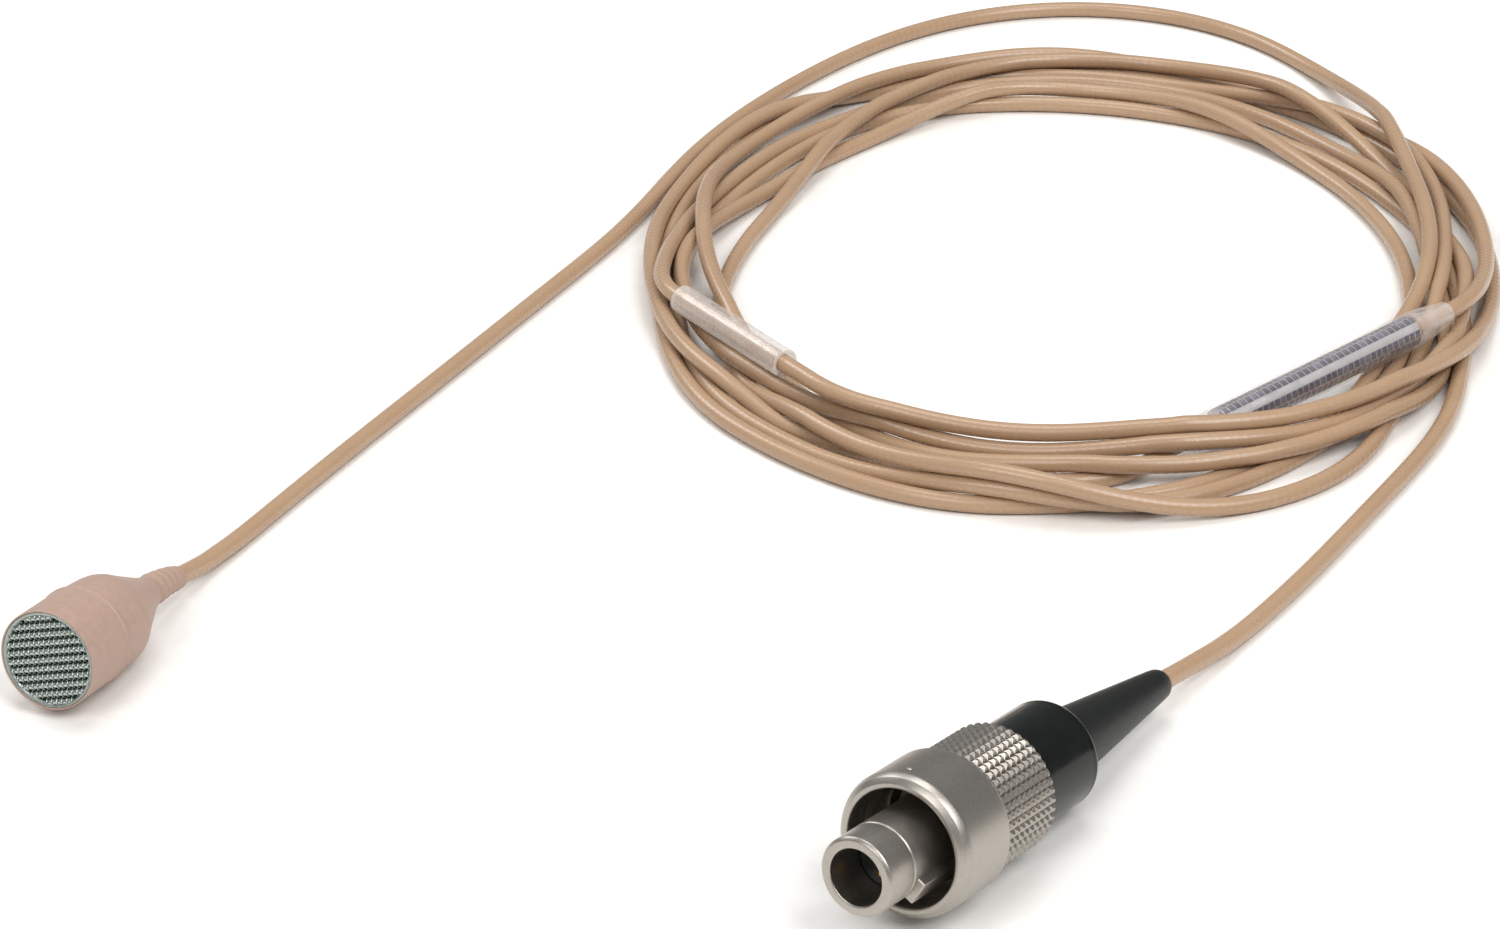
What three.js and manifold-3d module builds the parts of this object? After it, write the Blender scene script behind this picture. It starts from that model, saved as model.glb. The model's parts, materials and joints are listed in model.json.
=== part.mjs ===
// A miniature body-worn microphone: an electret capsule in a two-piece beige housing, nearly two
// metres of thin coaxial cable wound into a loose coil, and a screw-locking circular plug.
//
// Millimetres, +Z up. The origin is on the resting surface, under the middle of the microphone head.
// The head's grille faces -Y and its cable leaves towards +Y. Head and plug lie as their tapered
// bodies make them lie, each with its nose a few degrees up.
//
// The head and the plug are turned parts. Each is drawn in its own group, whose Y axis runs from the
// front face back to the cable, so a profile point is [radius, distance behind the front face].

import * as THREE from "three";
import { mergeVertices } from "three/addons/utils/BufferGeometryUtils.js";
import Module from "manifold-3d";

const wasm = await Module();
wasm.setup();

// Microphone head.
const HEAD_TILT = 7; // degrees, nose up
const HEAD_FACE = [0, -8.47, 4.2]; // centre of the front face
const HEAD_RADIUS = 3.53;
const SEAM_AT = 4.72; // where the front sleeve meets the rear body
const SHOULDER_AT = 8; // where the rear body starts to taper
const NECK_AT = 13.4; // where the strain relief starts
const BOOT_END = 17.5; // where the cable leaves the strain relief
const NECK_RADIUS = 1.12;
const BOOT_DROOP = 0.4; // the strain relief's end hangs this far below the head's axis
const CAN_RADIUS = 3; // the capsule's aluminium can
const CAN_FRONT = 1.1;
const CAN_BACK = 5.1;
const BOARD_AT = 4.36; // front of the amplifier board

// Cable.
const CABLE_RADIUS = 0.675;
const CABLE_SIDES = 8;
const CABLE_STEP = 3.4; // length of one step of the modelled tube

// Coil: a loose oval, turned in plan as it lies.
const COIL_CENTRE = [40.5, 84.05];
const COIL_TURN = 22.3; // degrees
const COIL_INNER = 26.4;
const COIL_OUTER = 34.6;
const COIL_STRETCH = 1.263; // depth of the oval over its width
const COIL_HEIGHT = 4.4;

// Clear keeper sleeve that slides on the cable.
const KEEPER_FROM = [16.5, 60.7, 3.6];
const KEEPER_TO = [28.3, 53.0, 3.6];
const KEEPER_RADIUS = 1.15;
const KEEPER_BORE = 0.78;
const KEEPER_TRAVEL = 4; // this far towards the front, and 1 back

// Identity label under a clear heat-shrunk cover.
const LABEL_FROM = [59, 55.3, 1.55];
const LABEL_TO = [72.9, 81.2, 3.5];
const LABEL_RADIUS = 1.25;
const COVER_RADIUS = 1.45;
const COVER_END_RADIUS = 0.95;

// Plug.
const PLUG_TILT = 6; // degrees, nose up
const PLUG_YAW = 13.2; // degrees
const PLUG_FACE = [60.2, -15.2, 5.98]; // centre of the tube's front ring
const TUBE_RADIUS = 2.6;
const TUBE_BORE = 1.87;
const BODY_RADIUS = 3.2; // the body behind the tube, on which the coupling nut turns
const NUT_FRONT = 4.9;
const NUT_RADIUS = 4.8;
const NUT_MOUTH = 3.95;
const GRIP_RADIUS = 4.2; // the knurled part of the nut
const GRIP_FROM = 10.2;
const NUT_BACK = 16.3;
const BARREL_RADIUS = 3.68;
const BARREL_END = 22.9;
const RELIEF_END = 36.6;
const CONTACTS = 3;
const CONTACT_CIRCLE = 0.95;
const CONTACT_RADIUS = 0.25;

const RUNNING_GAP = 0.1;
const CUT_GAP = 0.3; // left where one piece is cut clear of another
const FINE = 48; // sides of the outer turned parts
const COARSE = 24; // sides of the small inner ones

const beige = { color: 0xc4a896, roughness: 0.62, metalness: 0 };
const jacket = { color: 0xcdb18f, roughness: 0.42, metalness: 0 };
const nickel = { color: 0xa8a29a, roughness: 0.34, metalness: 1 };
const steel = { color: 0xb4b8b2, roughness: 0.3, metalness: 1 };
const aluminium = { color: 0xc3c6c8, roughness: 0.4, metalness: 1 };
const brass = { color: 0xc9a85a, roughness: 0.35, metalness: 1 };
const gold = { color: 0xd9b25a, roughness: 0.22, metalness: 1 };
const blackPlastic = { color: 0x1e2420, roughness: 0.3, metalness: 0 };
const blackRubber = { color: 0x20231f, roughness: 0.55, metalness: 0 };
const clearPlastic = {
  color: 0xe8e2da,
  roughness: 0.1,
  metalness: 0,
  transparent: true,
  opacity: 0.4,
};
const foil = { color: 0xb9bcc4, roughness: 0.3, metalness: 1 };
const film = { color: 0xd8c48a, roughness: 0.2, metalness: 0.5 };
const felt = { color: 0x4a4d4b, roughness: 0.95, metalness: 0 };
const insulator = { color: 0xb9a37c, roughness: 0.5, metalness: 0 };
const circuitBoard = { color: 0x2f6b46, roughness: 0.5, metalness: 0 };
const blackChip = { color: 0x151515, roughness: 0.6, metalness: 0 };
const copper = { color: 0xb87446, roughness: 0.35, metalness: 1 };
const whiteWire = { color: 0xe6e2d8, roughness: 0.5, metalness: 0 };

function named(name, geometry, look) {
  const mesh = new THREE.Mesh(geometry, new THREE.MeshStandardMaterial(look));
  mesh.name = name;
  return mesh;
}

// A turned solid on the group's Y axis. A profile that touches the axis at both ends is solid;
// any other is closed into a ring.
function turned(profile, sides = COARSE) {
  const points = profile.map(([radius, along]) => new THREE.Vector2(radius, along));
  if (profile[0][0] > 0) points.push(points[0].clone());
  return new THREE.LatheGeometry(points, sides);
}

function disc(radius, from, to, sides = COARSE) {
  return turned([[0, from], [radius, from], [radius, to], [0, to]], sides);
}

function washer(inner, outer, from, to, sides = COARSE) {
  return turned([[inner, from], [outer, from], [outer, to], [inner, to]], sides);
}

// A round rod between two points.
function rod(from, to, radius, sides = 12) {
  const start = new THREE.Vector3(...from);
  const along = new THREE.Vector3(...to).sub(start);
  const geometry = new THREE.CylinderGeometry(radius, radius, along.length(), sides);
  const up = new THREE.Vector3(0, 1, 0);
  geometry.applyQuaternion(new THREE.Quaternion().setFromUnitVectors(up, along.clone().normalize()));
  const middle = start.addScaledVector(along, 0.5);
  return geometry.translate(middle.x, middle.y, middle.z);
}

// Turns a profile drawn along Y so that it lies between two points.
function laidBetween(geometry, from, to) {
  const start = new THREE.Vector3(...from);
  const along = new THREE.Vector3(...to).sub(start).normalize();
  const up = new THREE.Vector3(0, 1, 0);
  geometry.applyQuaternion(new THREE.Quaternion().setFromUnitVectors(up, along));
  return geometry.translate(start.x, start.y, start.z);
}

function solidOf(geometry) {
  const bare = geometry.clone();
  bare.deleteAttribute("normal");
  bare.deleteAttribute("uv");
  const merged = mergeVertices(bare, 1e-4);
  const vertProperties = merged.attributes.position.array;
  const triVerts = new Uint32Array(merged.index.array);
  return new wasm.Manifold(new wasm.Mesh({ numProp: 3, vertProperties, triVerts }));
}

function geometryOf(solid) {
  const mesh = solid.getMesh();
  const geometry = new THREE.BufferGeometry();
  geometry.setAttribute("position", new THREE.BufferAttribute(mesh.vertProperties, 3));
  geometry.setIndex(new THREE.BufferAttribute(mesh.triVerts, 1));
  geometry.computeVertexNormals();
  return geometry;
}

function cut(geometry, ...tools) {
  const cutter = (solid, tool) => solid.subtract(solidOf(tool));
  return geometryOf(tools.reduce(cutter, solidOf(geometry)));
}

function joined(geometry, ...others) {
  const joiner = (solid, other) => solid.add(solidOf(other));
  return geometryOf(others.reduce(joiner, solidOf(geometry)));
}

function box(size, centre) {
  return new THREE.BoxGeometry(...size).translate(...centre);
}

// The plain tube of a loose stretch of cable along hand-laid points.
function cableTube(points) {
  const stations = points.map((point) => new THREE.Vector3(...point));
  const path = new THREE.CatmullRomCurve3(stations, false, "centripetal");
  const section = new THREE.Shape();
  for (let side = 0; side < CABLE_SIDES; side++) {
    const angle = (2 * Math.PI * side) / CABLE_SIDES;
    section[side ? "lineTo" : "moveTo"](CABLE_RADIUS * Math.cos(angle), CABLE_RADIUS * Math.sin(angle));
  }
  const steps = Math.ceil(path.getLength() / CABLE_STEP);
  return new THREE.ExtrudeGeometry(section, { steps, bevelEnabled: false, extrudePath: path });
}

function placed(group, face, tilt, yaw) {
  group.rotation.set(THREE.MathUtils.degToRad(-tilt), 0, THREE.MathUtils.degToRad(-yaw), "ZYX");
  group.position.set(...face);
  group.updateMatrix();
  return group;
}

// A point on a group's axis, or off it, in the frame of the whole object.
function placeOn(group, along, drop = 0) {
  return new THREE.Vector3(0, along, -drop).applyMatrix4(group.matrix).toArray();
}

// Front sleeve of the head, with the fine raised ring at its rear edge.
function frontSleeve() {
  const bore = 3.23;
  const chamfer = 0.1;
  const ring = 0.05;
  return turned(
    [
      [bore, 0],
      [HEAD_RADIUS - chamfer, 0],
      [HEAD_RADIUS, chamfer],
      [HEAD_RADIUS, SEAM_AT - 0.22],
      [HEAD_RADIUS + ring, SEAM_AT - 0.16],
      [HEAD_RADIUS + ring, SEAM_AT],
      [bore, SEAM_AT],
    ],
    FINE,
  );
}

// Rear body: a spigot inside the sleeve, then a slight taper, a round shoulder and a cone to the neck.
function rearBody() {
  const spigot = 3.18;
  const cableBore = 0.86;
  return turned(
    [
      [spigot, 3.6],
      [spigot, SEAM_AT + 0.05],
      [HEAD_RADIUS - 0.03, SEAM_AT + 0.05],
      [3.42, 6.3],
      [3.3, SHOULDER_AT - 0.5],
      [3.18, SHOULDER_AT],
      [2.9, SHOULDER_AT + 0.55],
      [1.65, NECK_AT - 1.7],
      [1.28, NECK_AT - 0.6],
      [NECK_RADIUS, NECK_AT],
      [cableBore, NECK_AT],
      [cableBore, 10.6],
      [2.55, 7.6],
      [3.04, 6.6],
      [3.04, 3.6],
    ],
    FINE,
  );
}

// Tapered strain relief with three low rings; it droops a little towards its end.
function strainRelief() {
  const bore = 0.74;
  const endRadius = 0.86;
  const rings = 3;
  const rise = 0.05;
  const start = NECK_AT + 0.05;
  const outer = [[NECK_RADIUS, start]];
  for (let ring = 0; ring < rings; ring++) {
    const middle = start + ((ring + 1) * (BOOT_END - start)) / (rings + 1);
    const taper = NECK_RADIUS + ((endRadius - NECK_RADIUS) * (middle - start)) / (BOOT_END - start);
    outer.push([taper, middle - 0.3], [taper + rise, middle], [taper - 0.02, middle + 0.3]);
  }
  outer.push([endRadius, BOOT_END]);
  const inner = [BOOT_END, NECK_AT + 2.1, start].map((along) => [bore, along]);
  const geometry = turned([...outer, ...inner]);
  const position = geometry.attributes.position;
  for (let i = 0; i < position.count; i++) position.setZ(i, position.getZ(i) - droopAt(position.getY(i)));
  return geometry;
}

function droopAt(along) {
  const share = Math.max(0, along - NECK_AT) / (BOOT_END - NECK_AT);
  return BOOT_DROOP * share * share;
}

// The capsule's can: a front plate with the sound inlet, and a rear lip rolled over the board.
function capsuleCan() {
  const wall = 0.22;
  const inlet = 0.8;
  const lip = 2.4;
  return turned([
    [inlet, CAN_FRONT],
    [CAN_RADIUS, CAN_FRONT],
    [CAN_RADIUS, CAN_BACK],
    [lip, CAN_BACK],
    [lip, CAN_BACK - 0.18],
    [CAN_RADIUS - wall, CAN_BACK - 0.18],
    [CAN_RADIUS - wall, CAN_FRONT + wall],
    [inlet, CAN_FRONT + wall],
  ]);
}

// Insulating holder: a collar round the backplate on a ledge that presses on the board.
function plateHolder() {
  return turned([
    [2.5, 1.9],
    [2.72, 1.9],
    [2.72, BOARD_AT - 0.05],
    [2, BOARD_AT - 0.05],
    [2, 2.45],
    [2.5, 2.45],
  ]);
}

function makeHead() {
  const head = placed(new THREE.Group(), HEAD_FACE, HEAD_TILT, 0);
  head.add(
    named("front_sleeve", frontSleeve(), beige),
    named("rear_body", rearBody(), beige),
    named("strain_relief", strainRelief(), beige),
    named("grille_rim", washer(2.97, 3.18, 0.05, 1, FINE), steel),
    named("grille_mesh", disc(2.92, 0.12, 0.34, FINE), steel),
    named("acoustic_felt", disc(2.88, 0.42, 0.92), felt),
    named("capsule_can", capsuleCan(), aluminium),
    named("diaphragm_ring", washer(2.25, 2.7, 1.38, 1.62), brass),
    named("diaphragm", disc(2.7, 1.67, 1.71), film),
    named("diaphragm_spacer", washer(2.3, 2.7, 1.76, 1.84), insulator),
    named("backplate", disc(2.44, 1.9, 2.4), brass),
    named("plate_holder", plateHolder(), insulator),
    named("amplifier_board", disc(2.72, BOARD_AT, BOARD_AT + 0.5), circuitBoard),
    named("transistor", box([1.4, 0.7, 1], [0, BOARD_AT - 0.4, 0]), blackChip),
    named("capsule_seal", washer(CAN_RADIUS + 0.04, 3.19, 2.4, 2.8), blackRubber),
    named("signal_wire", rod([0.45, BOARD_AT + 0.55, 0], [0.3, 8.35, 0], 0.14, 8), whiteWire),
    named("ground_wire", rod([-0.45, BOARD_AT + 0.55, 0], [-0.3, 8.35, 0], 0.14, 8), copper),
    named("cable_crimp", washer(CABLE_RADIUS + 0.05, 1.05, 8.6, 9.9), brass),
  );
  return head;
}

// Plug shell: the front tube with its key, and the body with a groove for the retaining ring.
function plugShell() {
  const groove = 3;
  const tubeEnd = 9;
  const shell = turned(
    [
      [TUBE_BORE + 0.1, 0],
      [TUBE_RADIUS - 0.2, 0],
      [TUBE_RADIUS, 0.2],
      [TUBE_RADIUS, tubeEnd],
      [BODY_RADIUS, tubeEnd + 0.4],
      [BODY_RADIUS, 11.85],
      [groove, 11.85],
      [groove, 12.35],
      [BODY_RADIUS, 12.35],
      [BODY_RADIUS, 17.3],
      [2, 17.3],
      [2, tubeEnd],
      [TUBE_BORE, tubeEnd - 0.2],
      [TUBE_BORE, 0.1],
    ],
    FINE,
  );
  const key = box([1.8, 5.4, 0.9], [0, 5.7, TUBE_RADIUS]);
  key.rotateY(THREE.MathUtils.degToRad(118));
  return joined(shell, key);
}

// Insulating insert, drilled for its contacts.
function contactInsert() {
  const clearance = 0.06;
  const holes = contactPlaces().map(([x, z]) => rod([x, 2.5, z], [x, 9.5, z], CONTACT_RADIUS + clearance, 8));
  return cut(disc(TUBE_BORE - 0.06, 3.2, 8.4), ...holes);
}

function contactPlaces() {
  return Array.from({ length: CONTACTS }, (_, i) => {
    const angle = (2 * Math.PI * i) / CONTACTS + Math.PI / 6;
    return [CONTACT_CIRCLE * Math.cos(angle), CONTACT_CIRCLE * Math.sin(angle)];
  });
}

// Coupling nut: a smooth front with a wide mouth, and a narrower grip that turns on the body.
function couplingNut() {
  const bore = BODY_RADIUS + RUNNING_GAP;
  const shoulder = 12.5;
  return turned(
    [
      [NUT_MOUTH, NUT_FRONT],
      [NUT_RADIUS - 0.5, NUT_FRONT],
      [NUT_RADIUS, NUT_FRONT + 0.7],
      [NUT_RADIUS, GRIP_FROM - 0.25],
      [NUT_RADIUS - 0.25, GRIP_FROM],
      [GRIP_RADIUS, GRIP_FROM],
      [GRIP_RADIUS, NUT_BACK - 0.2],
      [GRIP_RADIUS - 0.2, NUT_BACK],
      [bore, NUT_BACK],
      [bore, shoulder],
      [NUT_MOUTH - 0.1, shoulder],
      [NUT_MOUTH - 0.1, NUT_FRONT + 0.3],
    ],
    FINE,
  );
}

// Black barrel screwed on behind the nut; the bend relief passes through its rear opening.
function plugBarrel() {
  const bore = BODY_RADIUS + 0.08;
  const opening = 2.55;
  return turned(
    [
      [bore, NUT_BACK + 0.2],
      [BARREL_RADIUS - 0.1, NUT_BACK + 0.2],
      [BARREL_RADIUS, NUT_BACK + 0.3],
      [BARREL_RADIUS, BARREL_END - 1],
      [3.55, BARREL_END - 0.4],
      [3.2, BARREL_END],
      [opening, BARREL_END],
      [opening, 22.2],
      [bore, 22.2],
    ],
    FINE,
  );
}

// Rubber bend relief: a flange held in the barrel, then a long cone round the cable.
function bendRelief() {
  const bore = 0.76;
  return turned(
    [
      [bore, 21.2],
      [3.15, 21.2],
      [3.15, 22.1],
      [2.45, 22.1],
      [2.42, BARREL_END],
      [1.04, RELIEF_END - 0.1],
      [0.98, RELIEF_END],
      [bore, RELIEF_END],
    ],
    32,
  );
}

// Collet that grips the cable: two cones, slit crosswise from the rear.
function cableCollet() {
  const body = turned([
    [0.74, 17.9],
    [2.6, 17.9],
    [3.1, 18.5],
    [3.1, 19.5],
    [1.7, 20.9],
    [0.74, 20.9],
  ]);
  const slit = 0.3;
  const depth = 2;
  const across = box([7, depth + 1, slit], [0, 20.9 - (depth - 1) / 2, 0]);
  const upright = box([slit, depth + 1, 7], [0, 20.9 - (depth - 1) / 2, 0]);
  return cut(body, across, upright);
}

function makePlug() {
  const plug = placed(new THREE.Group(), PLUG_FACE, PLUG_TILT, PLUG_YAW);
  plug.add(
    named("plug_shell", plugShell(), nickel),
    named("contact_insert", contactInsert(), insulator),
    named("retaining_ring", washer(3.06, 3.7, 11.95, 12.25), steel),
    named("coupling_nut", couplingNut(), nickel),
    named("plug_barrel", plugBarrel(), blackPlastic),
    named("cable_collet", cableCollet(), brass),
    named("bend_relief", bendRelief(), blackRubber),
  );
  contactPlaces().forEach(([x, z], i) => {
    const solderEnd = 9.8;
    const inner = 0.4;
    plug.add(
      named(`contact_pin_${i + 1}`, rod([x, 3.05, z], [x, solderEnd, z], CONTACT_RADIUS, 8), gold),
      named(
        `conductor_${i + 1}`,
        rod([x, solderEnd + 0.1, z], [x * inner, 16.6, z * inner], 0.16, 8),
        i ? whiteWire : copper,
      ),
    );
  });
  return plug;
}

// The cable from the crimp inside the head to the coil's far right, laid round behind the coil.
function headSideCable(head) {
  const inside = [8.45, 11, NECK_AT].map((along) => placeOn(head, along));
  const throughBoot = [15.4, BOOT_END].map((along) => placeOn(head, along, droopAt(along)));
  return cableTube([
    ...inside,
    ...throughBoot,
    [0.1, 12.5, 0.95],
    [0.4, 17, 0.72],
    [0.9, 27, 0.7],
    [1.8, 40, 0.7],
    [2.9, 56, 0.7],
    [3.9, 72, 0.7],
    [4.3, 78, 0.7],
    [3.8, 84, 0.7],
    [3.4, 95, 0.7],
    [4.3, 105, 0.7],
    [5.8, 113, 0.7],
    [7.8, 120.3, 0.7],
    [10.3, 126.7, 0.7],
    [13.4, 131.7, 0.7],
    [17, 135.5, 0.7],
    [21, 138.3, 0.7],
    [25.5, 140.2, 0.7],
    [30.5, 140.8, 0.7],
    [35.5, 140.4, 0.7],
    [40.6, 138.5, 0.9],
    [46.5, 134.6, 1.5],
    [52.4, 128.3, 2.5],
    [57.3, 120.55, 3.4],
    [59.2, 116.9, 3.65],
  ]);
}

// The cable from the coil's near right side into the plug's collet.
function plugSideCable(plug) {
  const inside = [16.75, 22, 29, RELIEF_END].map((along) => placeOn(plug, along));
  return cableTube([
    ...inside,
    [69.35, 24, 1.55],
    [70.4, 28.5, 0.95],
    [71.4, 33, 0.72],
    [72.8, 40, 0.7],
    [74, 48.5, 0.7],
    [75.3, 58, 0.7],
    [75.8, 62.5, 0.75],
    [75.9, 65, 0.8],
  ]);
}

// One plain solid for the coil's piled turns, cut clear of the two sleeves that lie among them.
function coiledCable() {
  const ring = turned(
    [
      [COIL_INNER, 0.5],
      [COIL_INNER + 0.6, 0],
      [COIL_OUTER - 0.6, 0],
      [COIL_OUTER, 0.5],
      [COIL_OUTER, 1.6],
      [COIL_OUTER - 1.3, 3.2],
      [COIL_OUTER - 2.4, COIL_HEIGHT],
      [COIL_INNER + 2.2, COIL_HEIGHT],
      [COIL_INNER + 0.7, 3.1],
      [COIL_INNER, 1.6],
    ],
    64,
  );
  ring.rotateX(Math.PI / 2);
  ring.scale(1, COIL_STRETCH, 1);
  ring.rotateZ(THREE.MathUtils.degToRad(COIL_TURN));
  ring.translate(...COIL_CENTRE, 0);
  const keeperPocket = pocket(KEEPER_FROM, KEEPER_TO, KEEPER_RADIUS + CUT_GAP, KEEPER_TRAVEL + CUT_GAP);
  const labelPocket = pocket(LABEL_FROM, LABEL_TO, COVER_RADIUS + CUT_GAP, CUT_GAP);
  return cut(ring, keeperPocket, labelPocket);
}

function pocket(from, to, radius, extra) {
  const start = new THREE.Vector3(...from);
  const end = new THREE.Vector3(...to);
  const along = end.clone().sub(start).normalize();
  start.addScaledVector(along, -extra);
  end.addScaledVector(along, extra);
  return rod(start.toArray(), end.toArray(), radius, 12);
}

function lengthBetween(from, to) {
  return new THREE.Vector3(...from).distanceTo(new THREE.Vector3(...to));
}

function keeperSleeve() {
  const length = lengthBetween(KEEPER_FROM, KEEPER_TO);
  return laidBetween(washer(KEEPER_BORE, KEEPER_RADIUS, 0, length), KEEPER_FROM, KEEPER_TO);
}

// Printed foil wrapped round the cable.
function labelFoil() {
  const length = lengthBetween(LABEL_FROM, LABEL_TO);
  const inset = 4.5;
  const foilRing = washer(0.8, LABEL_RADIUS, inset, length - inset);
  return laidBetween(foilRing, LABEL_FROM, LABEL_TO);
}

// Clear cover, shrunk down on the cable at both ends.
function labelCover() {
  const length = lengthBetween(LABEL_FROM, LABEL_TO);
  const taper = 4;
  const bore = 0.78;
  const inner = LABEL_RADIUS + 0.06;
  const cover = turned([
    [bore, 0],
    [COVER_END_RADIUS, 0],
    [COVER_RADIUS, taper],
    [COVER_RADIUS, length - taper],
    [COVER_END_RADIUS, length],
    [bore, length],
    [inner, length - taper - 0.2],
    [inner, taper + 0.2],
  ]);
  return laidBetween(cover, LABEL_FROM, LABEL_TO);
}

const microphone = new THREE.Group();
const head = makeHead();
const plug = makePlug();
microphone.add(
  head,
  plug,
  named("cable_head_side", headSideCable(head), jacket),
  named("cable_coil", coiledCable(), jacket),
  named("cable_plug_side", plugSideCable(plug), jacket),
  named("keeper_sleeve", keeperSleeve(), clearPlastic),
  named("label_foil", labelFoil(), foil),
  named("label_cover", labelCover(), clearPlastic),
);

export default microphone;
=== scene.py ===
# %% [markdown]
# # A miniature headset microphone
# The microphone is a beige capsule the size of a pea. A thin cable leaves it, lies in a loose
# coil and ends in a small round plug with a screw-on nut. The lesson builds it around a packed
# CAD model, which fixes every size and place, so this script only makes shapes and finishes finer.

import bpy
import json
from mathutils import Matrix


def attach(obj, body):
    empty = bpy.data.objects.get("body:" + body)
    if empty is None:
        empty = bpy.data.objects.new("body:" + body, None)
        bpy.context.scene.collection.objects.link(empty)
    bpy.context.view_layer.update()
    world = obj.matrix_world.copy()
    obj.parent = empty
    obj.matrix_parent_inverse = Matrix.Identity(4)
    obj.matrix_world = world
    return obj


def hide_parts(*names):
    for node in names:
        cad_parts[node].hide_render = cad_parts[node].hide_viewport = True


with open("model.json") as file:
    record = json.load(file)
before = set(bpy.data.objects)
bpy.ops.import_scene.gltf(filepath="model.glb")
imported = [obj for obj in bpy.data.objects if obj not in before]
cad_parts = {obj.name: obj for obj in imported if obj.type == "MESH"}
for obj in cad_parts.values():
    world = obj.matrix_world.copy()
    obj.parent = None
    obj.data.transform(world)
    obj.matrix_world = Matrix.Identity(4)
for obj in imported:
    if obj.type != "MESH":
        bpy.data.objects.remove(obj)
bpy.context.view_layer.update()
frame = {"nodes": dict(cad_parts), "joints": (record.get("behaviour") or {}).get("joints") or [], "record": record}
print("CAD nodes:", len(frame["nodes"]))

# %% [markdown]
# ## Shared tools
# Colours are written as sRGB hex, because that is how a swatch is read, and a shader wants linear
# light, so one function converts them. Node trees get long when each node takes five lines: one
# small function adds a node, sets what it is told and links what it is given. Two more put a piece
# into the scene and clean a mesh, because every piece needs that.

# %% Colours, nodes and pieces
import json
import math

import bmesh
import bpy
import numpy as np
from mathutils import Matrix, Vector

MM = 0.001
MATHS = "ShaderNodeMath"  # the node that the trees below use most


def colour(swatch):
    """An sRGB hex swatch as the linear RGBA that a shader takes."""
    parts = [int(swatch[i : i + 2], 16) / 255 for i in (0, 2, 4)]
    return (*(c / 12.92 if c <= 0.04045 else ((c + 0.055) / 1.055) ** 2.4 for c in parts), 1.0)


def wire(tree, node, inputs):
    """Fills inputs: one given a node or a socket is linked to it, and any other value is set."""
    for name, value in inputs.items():
        if isinstance(value, bpy.types.Node):
            value = value.outputs[0]
        if isinstance(value, bpy.types.NodeSocket):
            tree.links.new(value, node.inputs[name])
        else:
            node.inputs[name].default_value = value


def add(tree, kind, inputs=None, **settings):
    """Adds a node with those settings and those inputs."""
    node = tree.nodes.new(kind)
    for name, value in settings.items():
        setattr(node, name, value)
    wire(tree, node, inputs or {})
    return node


def start_material(name, shader):
    """An empty material with one surface shader, whose constants are set on its own sockets."""
    material = bpy.data.materials.new(name)
    material.use_nodes = True
    tree = material.node_tree
    tree.nodes.clear()
    surface = add(tree, "ShaderNodeBsdfPrincipled", shader)
    add(tree, "ShaderNodeOutputMaterial", {"Surface": surface.outputs["BSDF"]})
    return material, tree, surface


def put(name, data):
    """An object with that data, in the scene."""
    piece = bpy.data.objects.new(name, data)
    bpy.context.scene.collection.objects.link(piece)
    return piece


def weld(mesh, gap):
    """Joins points closer than that and turns every face outwards."""
    work = bmesh.new()
    work.from_mesh(mesh)
    bmesh.ops.remove_doubles(work, verts=work.verts, dist=gap)
    bmesh.ops.recalc_face_normals(work, faces=work.faces)
    work.to_mesh(mesh)
    work.free()


# %% [markdown]
# ## A finish with grain
# Moulded plastic, blasted metal and felt all look right only when colour, gloss and height vary a
# little together. Three separate noises could do it. One noise that drives all three is quicker,
# and it is truer too: a pit in a real surface is darker, duller and lower at once.

# %% Grained finishes
def grained(name, dark, light, grain, gloss, relief, **shader):
    """A finish of that grain in mm. gloss is the lowest and highest roughness, relief is in mm."""
    material, tree, surface = start_material(name, {k.replace("_", " "): v for k, v in shader.items()})
    place = add(tree, "ShaderNodeTexCoord")
    noise = add(
        tree,
        "ShaderNodeTexNoise",
        {"Vector": place.outputs["Object"], "Scale": 1 / (grain * MM), "Detail": 3.0, "Roughness": 0.6},
    )
    level = add(tree, "ShaderNodeMapRange", {0: noise, 1: 0.3, 2: 0.7})
    tint = add(
        tree,
        "ShaderNodeMix",
        {0: level, 6: colour(dark), 7: colour(light)},
        data_type="RGBA",
    )
    rough = add(tree, "ShaderNodeMapRange", {0: level, 3: gloss[0], 4: gloss[1]})
    bump = add(tree, "ShaderNodeBump", {"Height": noise, "Distance": relief * MM})
    wire(tree, surface, {"Base Color": tint.outputs[2], "Roughness": rough, "Normal": bump})
    return material


# %% [markdown]
# ## The camera
# A small thing is taken from about thirty centimetres with a long lens, looking down at it, so
# that its near end is hardly bigger than its far end. A 100 mm lens on a full-frame sensor does
# that. It is turned with a track quaternion, which needs only the direction it looks in.

# %% Camera
camera_data = bpy.data.cameras.new("camera")
camera_data.lens = 100
camera_data.sensor_width = 36
camera_data.clip_start = 0.01
camera = put("camera", camera_data)
camera.location = Vector((134.29, -212.86, 143.88)) * MM
camera.rotation_euler = Vector((-0.33614, 0.82086, -0.46175)).to_track_quat("-Z", "Y").to_euler()
bpy.context.scene.camera = camera
print("camera distance to the head:", round(camera.location.length, 3), "m")

# %% [markdown]
# ## Floor and light
# The object lies on a pale sheet in a light tent. A tent lights from every side, which a bright
# world does, and a broad softbox on each side draws long highlights on metal, cable and clear
# vinyl. A few large lights are better than many small ones: their shadows stay soft and quiet.

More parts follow.
